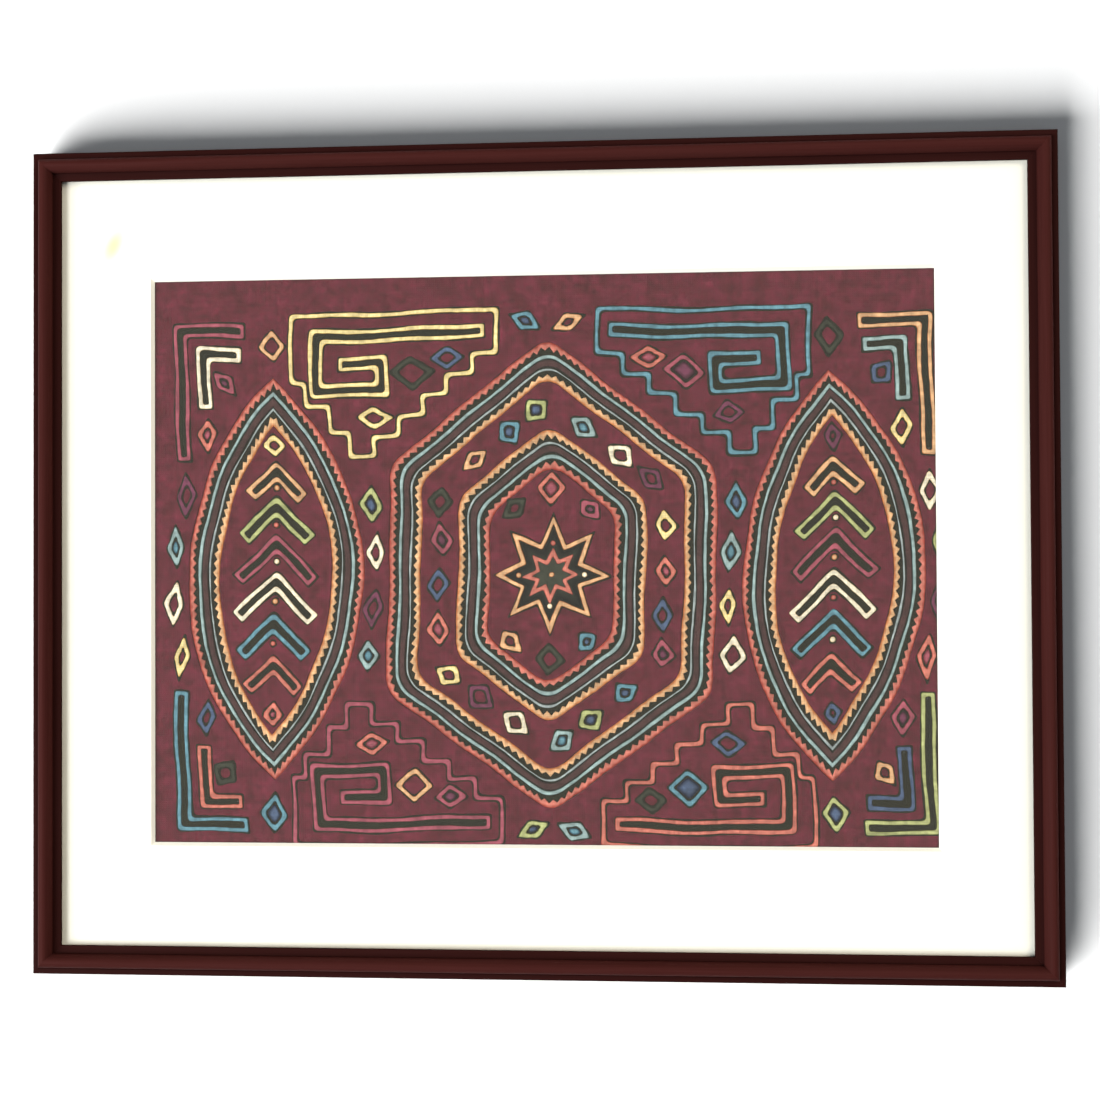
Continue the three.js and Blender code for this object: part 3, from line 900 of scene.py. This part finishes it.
# Mat board
# White paper-faced board with a window cut at 45 degrees, which bares its cream core as a thin line.
# It lies on the cloth's margins and keeps the sewn surface off the glass.
MAT_WHITE = "#fdf6ea"
MAT_CREAM = "#fffaf0"
MAT_STAIN = "#dfe593"
PAPER_MM = 0.6
CLOUD_MM = 60
PULP_MM = 1.5
MAT_EDGE = 0.12
CUT_EDGE = 0.036
BEVEL_LOOPS = [4, 5]
WINDOW_MIDDLE = np.array([1.3, 0.1])
WINDOW_SIZE = np.array([400.4, 291.2])
STAIN_PLACE = (-220.3, 164.6, 0)
STAIN_TURN = (0, 0, -0.45)
STAIN_SIZE = (4.5, 9, 1000)


def mat_face():
    """Uncoated mat paper: a faint felt grain, very slightly warm, with one old pale yellow spot."""
    material, place = new_finish("white mat paper")
    tree = material.node_tree
    links = {"Vector": place, "Location": 0.001 * Vector(STAIN_PLACE), "Rotation": STAIN_TURN}
    links["Scale"] = 0.001 * Vector(STAIN_SIZE)
    moved = add_node(tree, "ShaderNodeMapping", links, vector_type="TEXTURE").outputs[0]
    spread = add_node(tree, "ShaderNodeVectorMath", {0: moved}, operation="LENGTH").outputs["Value"]
    spot = remap(spread, (0.1, 1.3), (0.75, 0.0), interpolation_type="SMOOTHSTEP")
    cloud = noise(place, CLOUD_MM)
    paper = blend(cloud, to_linear(MAT_WHITE, 0.95), to_linear(MAT_WHITE))
    return surface(
        material,
        Base_Color=blend(spot, paper, to_linear(MAT_STAIN)),
        Roughness=0.88,
        Specular_IOR_Level=0.3,
        Normal=relief(noise(place, PAPER_MM, detail=3.0), 0.25, 0.1),
    )


def mat_core():
    """The cut core of the board: cream pulp, a little rough from the blade."""
    material, place = new_finish("cream board core")
    pulp = noise(place, PULP_MM, detail=3.0)
    return surface(
        material,
        Base_Color=blend(pulp, to_linear(MAT_CREAM, 0.94), to_linear(MAT_CREAM)),
        Roughness=0.9,
        Normal=relief(pulp, 0.3, 0.1),
    )


def mat_surface():
    """Loops round the board from its back rim, over the face, down the bevel and back underneath."""
    low, high = box_mm("mat_board")
    thick = high[2] - low[2]
    window = WINDOW_SIZE / 2
    rim = (high - low)[:2] / 2
    loops = [
        (rim, 0, low[2]),
        (rim, 0, high[2] - MAT_EDGE),
        (rim - MAT_EDGE, 0, high[2]),
        (window + thick + MAT_EDGE, WINDOW_MIDDLE, high[2]),
        (window + thick - CUT_EDGE, WINDOW_MIDDLE, high[2] - CUT_EDGE),
        (window + MAT_EDGE, WINDOW_MIDDLE, low[2] + MAT_EDGE),
        (window, WINDOW_MIDDLE, low[2]),
    ]
    corners = np.array(QUARTERS, float)
    rings = [np.column_stack([centre + corners * half, np.full(4, z)]) for half, centre, z in loops]
    return np.concatenate(rings), grid_faces(len(loops), 4, True, True)[:, ::-1]


mat = make_piece(
    "mat_with_bevelled_window", mat_surface(), mat_face(), ["mat_board"], smooth=False
)
mat.data.materials.append(mat_core())
bevel_faces = np.isin(np.arange(len(mat.data.polygons)) // 4, BEVEL_LOOPS)
mat.data.polygons.foreach_set("material_index", bevel_faces.astype(np.int32))


# Picture glass
# A clear pane two millimetres thick, held behind the lip of the frame. It mirrors a little of the room,
# which lays a pale veil over the dark cloth, and it lets the light through to the mat.
GLASS_TINT = "#f6fbf9"
GLASS_GLEAM = "#fff2dc"
GLASS_IOR = 1.52
SMEAR_MM = (200, 45.45, 1000)
SMEAR_TURN = 0.4


def picture_glass():
    """Float glass: clear and smooth, with faint wide smears from wiping that blur its mirror image."""
    material, place = new_finish("float glass")
    smear = noise(place, SMEAR_MM, detail=3.0, turn=SMEAR_TURN)
    return surface(
        material,
        Base_Color=to_linear(GLASS_TINT),
        Roughness=remap(smear, (0.45, 0.75), (0.0, 0.03)),
        IOR=GLASS_IOR,
        Specular_Tint=to_linear(GLASS_GLEAM),
        Transmission_Weight=1.0,
    )


glass = refinish("glass_pane", picture_glass())
glass.visible_shadow = False
glass.visible_diffuse = False


# Frame rails
# Four lengths of hardwood moulding, stained dark mahogany and rubbed to a dull finish, mitred and glued at
# the corners. A rounded cushion stands between a plain inner lip and a grooved outer ledge.
MAHOGANY = "#3c1c1a"
MAHOGANY_DARK = "#2a100e"
LOW_SHADE = 0.5
GRAIN_MM = 0.7
GRAIN_RUN_MM = 60
GRAIN_SHIFT_ALONG = 900
GRAIN_SHIFT_ROUND = 37
BAND_MM = 4.545
BAND_RUN_MM = 166.7
SHADE_RISE = 2
LIP_WIDTH = 2.9
LIP_THICK = 2.2
LIP_FALL = 0.6
LIP_OVERHANG = 0.8
LIP_EASE = 0.4
CUSHION_WIDTH = 7.4
GROOVE_WIDTH = 0.5
GROOVE_DEPTH = 0.8
GROOVE_EASE = 0.25
OUTER_EASE = 1.2
BACK_EASE = 0.5
RABBET = 6
GLASS_GAP = 0.3
RAIL_STEP = 12
MITRE_GAP = 0.01
SHARP_DEGREES = 40
rail_low, rail_high = box_mm("rail_top")
RAIL_WIDTH, RAIL_DEPTH = (rail_high - rail_low)[1:]
LIP_BACK = box_mm("glass_pane")[1][2] + GLASS_GAP
FRONT = LIP_BACK + LIP_THICK


def stained_wood():
    """Stained hardwood with a dull rubbed face: fine dark pores and slow bands run along each rail. The low
    lip and ledge are painted darker, as painted shade below the cushion."""
    material, place = new_finish("mahogany-stained hardwood")
    tree = material.node_tree
    grain = add_node(tree, "ShaderNodeUVMap", uv_map="grain").outputs["UV"]
    pores = noise(grain, (GRAIN_RUN_MM, GRAIN_MM, 1000), detail=4.0)
    pored = remap(pores, (0.38, 0.62))
    streaks = blend(pored, to_linear(MAHOGANY_DARK, 1.5), to_linear(MAHOGANY))
    bands = noise(grain, (BAND_RUN_MM, BAND_MM, 1000))
    stain = blend(bands, streaks, to_linear(MAHOGANY, 1.1))
    # Painted shade: the colour darkens from the cushion down to the low lip and ledge.
    level = add_node(tree, "ShaderNodeSeparateXYZ", {0: place}).outputs["Z"]
    shade_band = (0.001 * FRONT, 0.001 * (FRONT + SHADE_RISE))
    painted_low_shade = remap(level, shade_band, (LOW_SHADE, 1.0), interpolation_type="SMOOTHSTEP")
    return surface(
        material,
        Base_Color=shaded(stain, painted_low_shade),
        Roughness=remap(pores, (0, 1), (0.55, 0.4)),
        IOR=1.5,
        Specular_IOR_Level=0.01,
        Normal=relief(pores, 0.15, 0.1),
    )


def arc(centre, radii, start, end, steps):
    """Points of an arc between two angles in degrees, round or with a radius for each axis."""
    turn = np.radians(np.linspace(start, end, steps))
    return np.asarray(centre) + np.asarray(radii) * np.column_stack([np.cos(turn), np.sin(turn)])


def rail_section():
    """The moulding's outline, from the back of the rabbet round by the outer side: distance out from the
    sight edge, and height. Edges are eased by small arcs, and the cushion is half an ellipse."""
    ledge_inner = LIP_WIDTH + CUSHION_WIDTH + GROOVE_WIDTH
    back = (RAIL_WIDTH - BACK_EASE, BACK_EASE)
    ledge = (RAIL_WIDTH - OUTER_EASE, FRONT - OUTER_EASE)
    groove = (ledge_inner + GROOVE_EASE, FRONT - GROOVE_EASE)
    cushion = (LIP_WIDTH + CUSHION_WIDTH / 2, FRONT)
    lip = (LIP_EASE - LIP_OVERHANG, FRONT - LIP_FALL - LIP_EASE)
    return np.vstack(
        [
            [(RABBET, 0)],
            arc(back, BACK_EASE, -90, 0, 5),
            arc(ledge, OUTER_EASE, 0, 90, 9),
            arc(groove, GROOVE_EASE, 90, 180, 4),
            [(ledge_inner - GROOVE_WIDTH / 2, FRONT - GROOVE_DEPTH)],
            arc(cushion, (CUSHION_WIDTH / 2, RAIL_DEPTH - FRONT), 0, 180, 37),
            arc(lip, LIP_EASE, 80, 180, 6),
            [(-LIP_OVERHANG, LIP_BACK), (RABBET, LIP_BACK)],
        ]
    )


def rail_piece(side, half_length, reach, turn, material):
    """One rail: the section carried along its length, each point as far as the mitre lets it."""
    section = rail_section()
    way = np.linspace(-1, 1, 2 * int(half_length / RAIL_STEP) + 1)[:, None]
    outward, height = section.T
    along = way * (half_length + outward - MITRE_GAP)
    across = reach + outward + 0 * along
    cos, sin = round(np.cos(turn)), round(np.sin(turn))
    points = np.stack([along * cos - across * sin, along * sin + across * cos, height + 0 * along], -1)
    rows, columns = along.shape
    sides = grid_faces(rows, columns, False, True).tolist()
    ends = [list(range(columns)), list(range(rows * columns - 1, (rows - 1) * columns - 1, -1))]
    shell = (points.reshape(-1, 3), sides + ends)
    piece = make_piece(f"moulding_{side}", shell, material, [f"rail_{side}"])
    round_it = run_along(section) + GRAIN_SHIFT_ROUND * turn + 0 * along
    grain = 0.001 * np.stack([along + GRAIN_SHIFT_ALONG * turn, round_it], -1).reshape(-1, 2)
    corner_points = np.empty(len(piece.data.loops), np.int32)
    piece.data.loops.foreach_get("vertex_index", corner_points)
    piece.data.uv_layers.new(name="grain").data.foreach_set("uv", grain[corner_points].ravel())
    piece.data.set_sharp_from_angle(angle=np.radians(SHARP_DEGREES))


wood = stained_wood()
sight_x, sight_y = rail_high[:2] - RAIL_WIDTH
RAILS = [
    ("top", sight_x, sight_y, 0),
    ("left", sight_y, sight_x, np.pi / 2),
    ("bottom", sight_x, sight_y, np.pi),
    ("right", sight_y, sight_x, -np.pi / 2),
]
for side, half_length, reach, turn in RAILS:
    rail_piece(side, half_length, reach, turn, wood)


# Floor, light and camera
# A plain white surface under the panel, and a sky that is bright overhead, where the glass mirrors it. The
# panel is lit softly from the lower left, with a warm fill; the floor has a lower sun, for a longer shadow.
FLOOR_WHITE = "#f7f7f6"
FLOOR_HALF = 6000
FLOOR_Z = -0.2
FLOOR_CLOUD_MM = 166.7
CAMERA_PLACE = (52.2, -5.4, 722.4)
CAMERA_LOOK = (-0.0632, 0.0142, -0.9979)
CAMERA_UP = (0.0058, 0.9999, 0.0139)
CAMERA_SENSOR = 36
CAMERA_LENS = CAMERA_SENSOR * 1400 / 1100
LAMP_SIZE = 2.0
PANEL_LAMP = (-1.8, -0.75, 1.75)
PANEL_POWER = 111
FILL_LAMP = (1.6, 1.2, 2.0)
FILL_POWER = 61
FILL_TINT = "#fff2e0"
FLOOR_SUN = (-1.95, -2.05, 0.4)
FLOOR_SUN_WIDTH = 1.1
FLOOR_SUN_POWER = 21
SKY_TINT = "#f3f9ff"
SKY_SEEN = 1.2
SKY_LOW = 0.05
SKY_HIGH = 0.52
SKY_RISE = (0.82, 0.9)


def floor_paper():
    """Matte white paper with a barely uneven tone."""
    material, place = new_finish("matte white paper")
    cloud = noise(place, FLOOR_CLOUD_MM)
    tint = blend(cloud, to_linear(FLOOR_WHITE, 0.98), to_linear(FLOOR_WHITE))
    return surface(material, Base_Color=tint, Roughness=0.95, Specular_IOR_Level=0.2)


floor_mesh = bpy.data.meshes.new("floor")
floor_corners = 0.001 * np.array([(x * FLOOR_HALF, y * FLOOR_HALF, FLOOR_Z) for x, y in QUARTERS])
floor_mesh.from_pydata(floor_corners, [], [(0, 1, 2, 3)])
floor_mesh.materials.append(floor_paper())
floor = bpy.data.objects.new("floor", floor_mesh)
bpy.context.collection.objects.link(floor)


def add_lamp(name, kind, place, lit, **settings):
    """A lamp at a place in metres, aimed at the panel's middle; it lights what its collection takes in."""
    light = bpy.data.lights.new(name, kind)
    for setting, value in settings.items():
        setattr(light, setting, value)
    lamp = bpy.data.objects.new(name, light)
    lamp.location = place
    lamp.rotation_euler = (-Vector(place)).to_track_quat("-Z", "Y").to_euler()
    bpy.context.collection.objects.link(lamp)
    lamp.light_linking.receiver_collection = lit


floor_only = bpy.data.collections.new("floor only")
floor_only.objects.link(floor)
panel_only = bpy.data.collections.new("panel without its glass")
for number, left_out in enumerate((floor, glass)):
    panel_only.objects.link(left_out)
    panel_only.collection_objects[number].light_linking.link_state = "EXCLUDE"
soft = {"shape": "DISK", "size": LAMP_SIZE}
add_lamp("panel lamp", "AREA", PANEL_LAMP, panel_only, energy=PANEL_POWER, **soft)
fill_colour = to_linear(FILL_TINT)[:3]
add_lamp("fill lamp", "AREA", FILL_LAMP, panel_only, energy=FILL_POWER, color=fill_colour, **soft)
add_lamp("floor sun", "SUN", FLOOR_SUN, floor_only, angle=FLOOR_SUN_WIDTH, energy=FLOOR_SUN_POWER)

world = bpy.data.worlds.new("soft sky")
world.use_nodes = True
sky = world.node_tree
sky.nodes.clear()
direction = add_node(sky, "ShaderNodeTexCoord").outputs["Generated"]
height = add_node(sky, "ShaderNodeSeparateXYZ", {0: direction}).outputs["Z"]
glow = remap(height, SKY_RISE, (SKY_LOW, SKY_HIGH), interpolation_type="SMOOTHSTEP")
seen = add_node(sky, "ShaderNodeLightPath").outputs["Is Camera Ray"]
strength = add_node(sky, "ShaderNodeMix", {0: seen, 2: glow, 3: SKY_SEEN}).outputs[0]
background = add_node(sky, "ShaderNodeBackground", {"Color": to_linear(SKY_TINT), "Strength": strength})
add_node(sky, "ShaderNodeOutputWorld", {"Surface": background.outputs[0]})
bpy.context.scene.world = world
bpy.context.scene.view_settings.view_transform = "Standard"

look, up = Vector(CAMERA_LOOK).normalized(), Vector(CAMERA_UP)
right = look.cross(up).normalized()
up = right.cross(look)
camera = bpy.data.cameras.new("camera")
camera.sensor_width = CAMERA_SENSOR
camera.lens = CAMERA_LENS
camera_stand = bpy.data.objects.new("camera", camera)
turned = Matrix((right, up, -look)).transposed().to_4x4()
camera_stand.matrix_world = Matrix.Translation(0.001 * Vector(CAMERA_PLACE)) @ turned
bpy.context.collection.objects.link(camera_stand)
bpy.context.scene.camera = camera_stand
